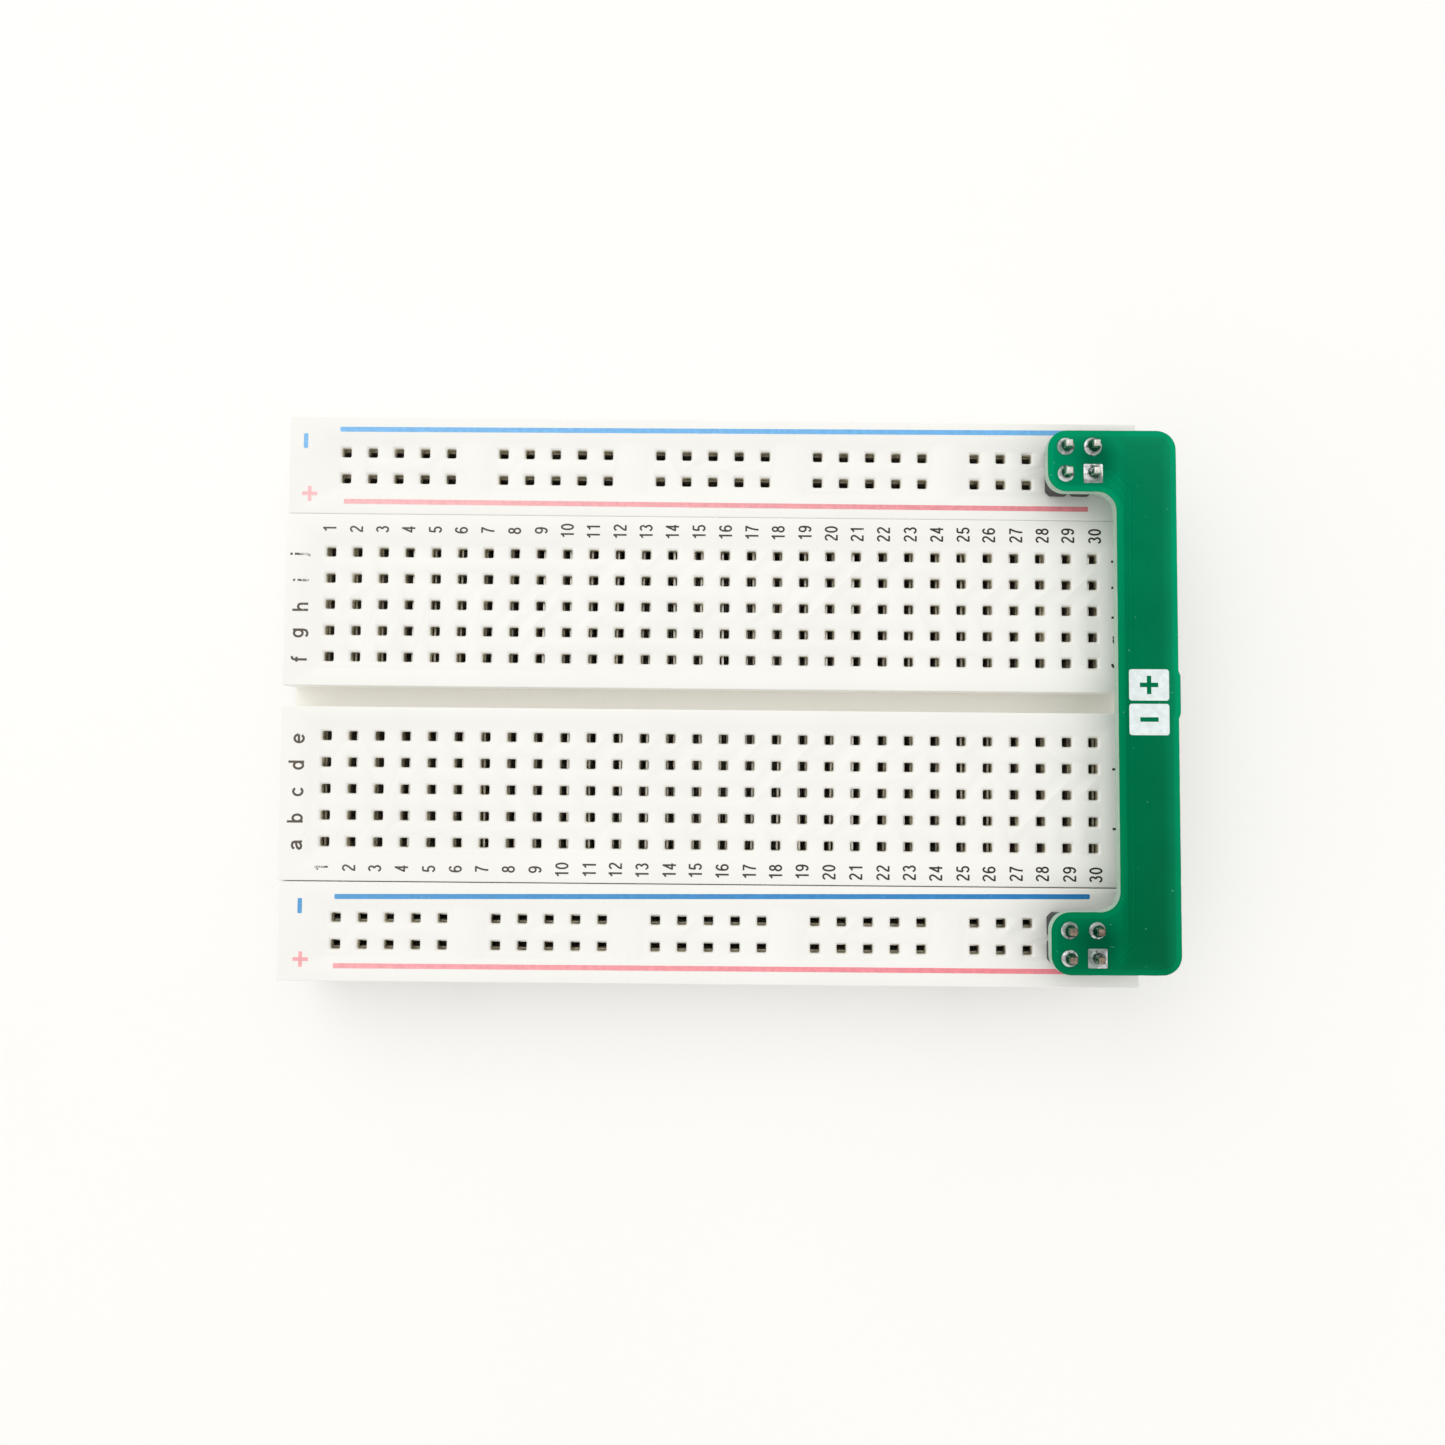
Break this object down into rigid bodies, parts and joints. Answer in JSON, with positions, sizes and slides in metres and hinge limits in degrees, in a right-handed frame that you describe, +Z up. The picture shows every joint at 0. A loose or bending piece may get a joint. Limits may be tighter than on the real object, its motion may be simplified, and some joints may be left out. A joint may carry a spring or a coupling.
{
  "type": "solderless breadboard",
  "caption": "White half-size solderless breadboard with slide-on power rails and a green plug-in board that bridges the rails.",
  "frame": {"origin": "centre of the terminal strip's underside, on its release liner", "axes": "+X along the numbered columns towards column 30, +Y from row a towards row j, +Z up out of the contact holes"},
  "size_m": [0.0845, 0.0542, 0.0151],
  "materials": {
    "white_abs": "satin",
    "plated_bronze": "satin",
    "foam_tape": "matte",
    "release_paper": "matte",
    "green_board": "gloss",
    "black_insulator": "satin",
    "tinned_pin": "gloss",
    "solder": "gloss",
    "blue_ink": "satin",
    "red_ink": "satin",
    "dark_ink": "satin",
    "white_ink": "satin"
  },
  "bodies": {
    "lower_rail": {"bus_clip_lower_minus": "plated_bronze", "bus_clip_lower_plus": "plated_bronze", "foam_tape_lower_rail": "foam_tape", "lower_rail_block": "white_abs", "release_liner_lower_rail": "release_paper"},
    "terminal_strip": {"clip_bank_a_e_01_03": "plated_bronze", "clip_bank_a_e_04_06": "plated_bronze", "clip_bank_a_e_07_09": "plated_bronze", "clip_bank_a_e_10_12": "plated_bronze", "clip_bank_a_e_13_15": "plated_bronze", "clip_bank_a_e_16_18": "plated_bronze", "clip_bank_a_e_19_21": "plated_bronze", "clip_bank_a_e_22_24": "plated_bronze", "clip_bank_a_e_25_27": "plated_bronze", "clip_bank_a_e_28_30": "plated_bronze", "clip_bank_f_j_01_03": "plated_bronze", "clip_bank_f_j_04_06": "plated_bronze", "clip_bank_f_j_07_09": "plated_bronze", "clip_bank_f_j_10_12": "plated_bronze", "clip_bank_f_j_13_15": "plated_bronze", "clip_bank_f_j_16_18": "plated_bronze", "clip_bank_f_j_19_21": "plated_bronze", "clip_bank_f_j_22_24": "plated_bronze", "clip_bank_f_j_25_27": "plated_bronze", "clip_bank_f_j_28_30": "plated_bronze", "foam_tape_terminal": "foam_tape", "release_liner_terminal": "release_paper", "terminal_block": "white_abs"},
    "upper_rail": {"bus_clip_upper_minus": "plated_bronze", "bus_clip_upper_plus": "plated_bronze", "foam_tape_upper_rail": "foam_tape", "release_liner_upper_rail": "release_paper", "upper_rail_block": "white_abs"},
    "bridge": {"bridge_board": "green_board", "header_insulator_lower": "black_insulator", "header_insulator_upper": "black_insulator", "header_pin_lower_1": "tinned_pin", "header_pin_lower_2": "tinned_pin", "header_pin_lower_3": "tinned_pin", "header_pin_lower_4": "tinned_pin", "header_pin_upper_1": "tinned_pin", "header_pin_upper_2": "tinned_pin", "header_pin_upper_3": "tinned_pin", "header_pin_upper_4": "tinned_pin", "solder_joint_lower_1": "solder", "solder_joint_lower_2": "solder", "solder_joint_lower_3": "solder", "solder_joint_lower_4": "solder", "solder_joint_upper_1": "solder", "solder_joint_upper_2": "solder", "solder_joint_upper_3": "solder", "solder_joint_upper_4": "solder"}
  },
  "joints": [
    {"name": "strip_lift", "type": "slide", "parent": "lower_rail", "child": "terminal_strip", "axis": [0, 0, 1], "range_m": [0, 0.01]},
    {"name": "upper_rail_lift", "type": "slide", "parent": "terminal_strip", "child": "upper_rail", "axis": [0, 0, 1], "range_m": [0, 0.01]},
    {"name": "bridge_unplug", "type": "slide", "parent": "upper_rail", "child": "bridge", "axis": [0, 0, 1], "range_m": [0, 0.008]}
  ]
}
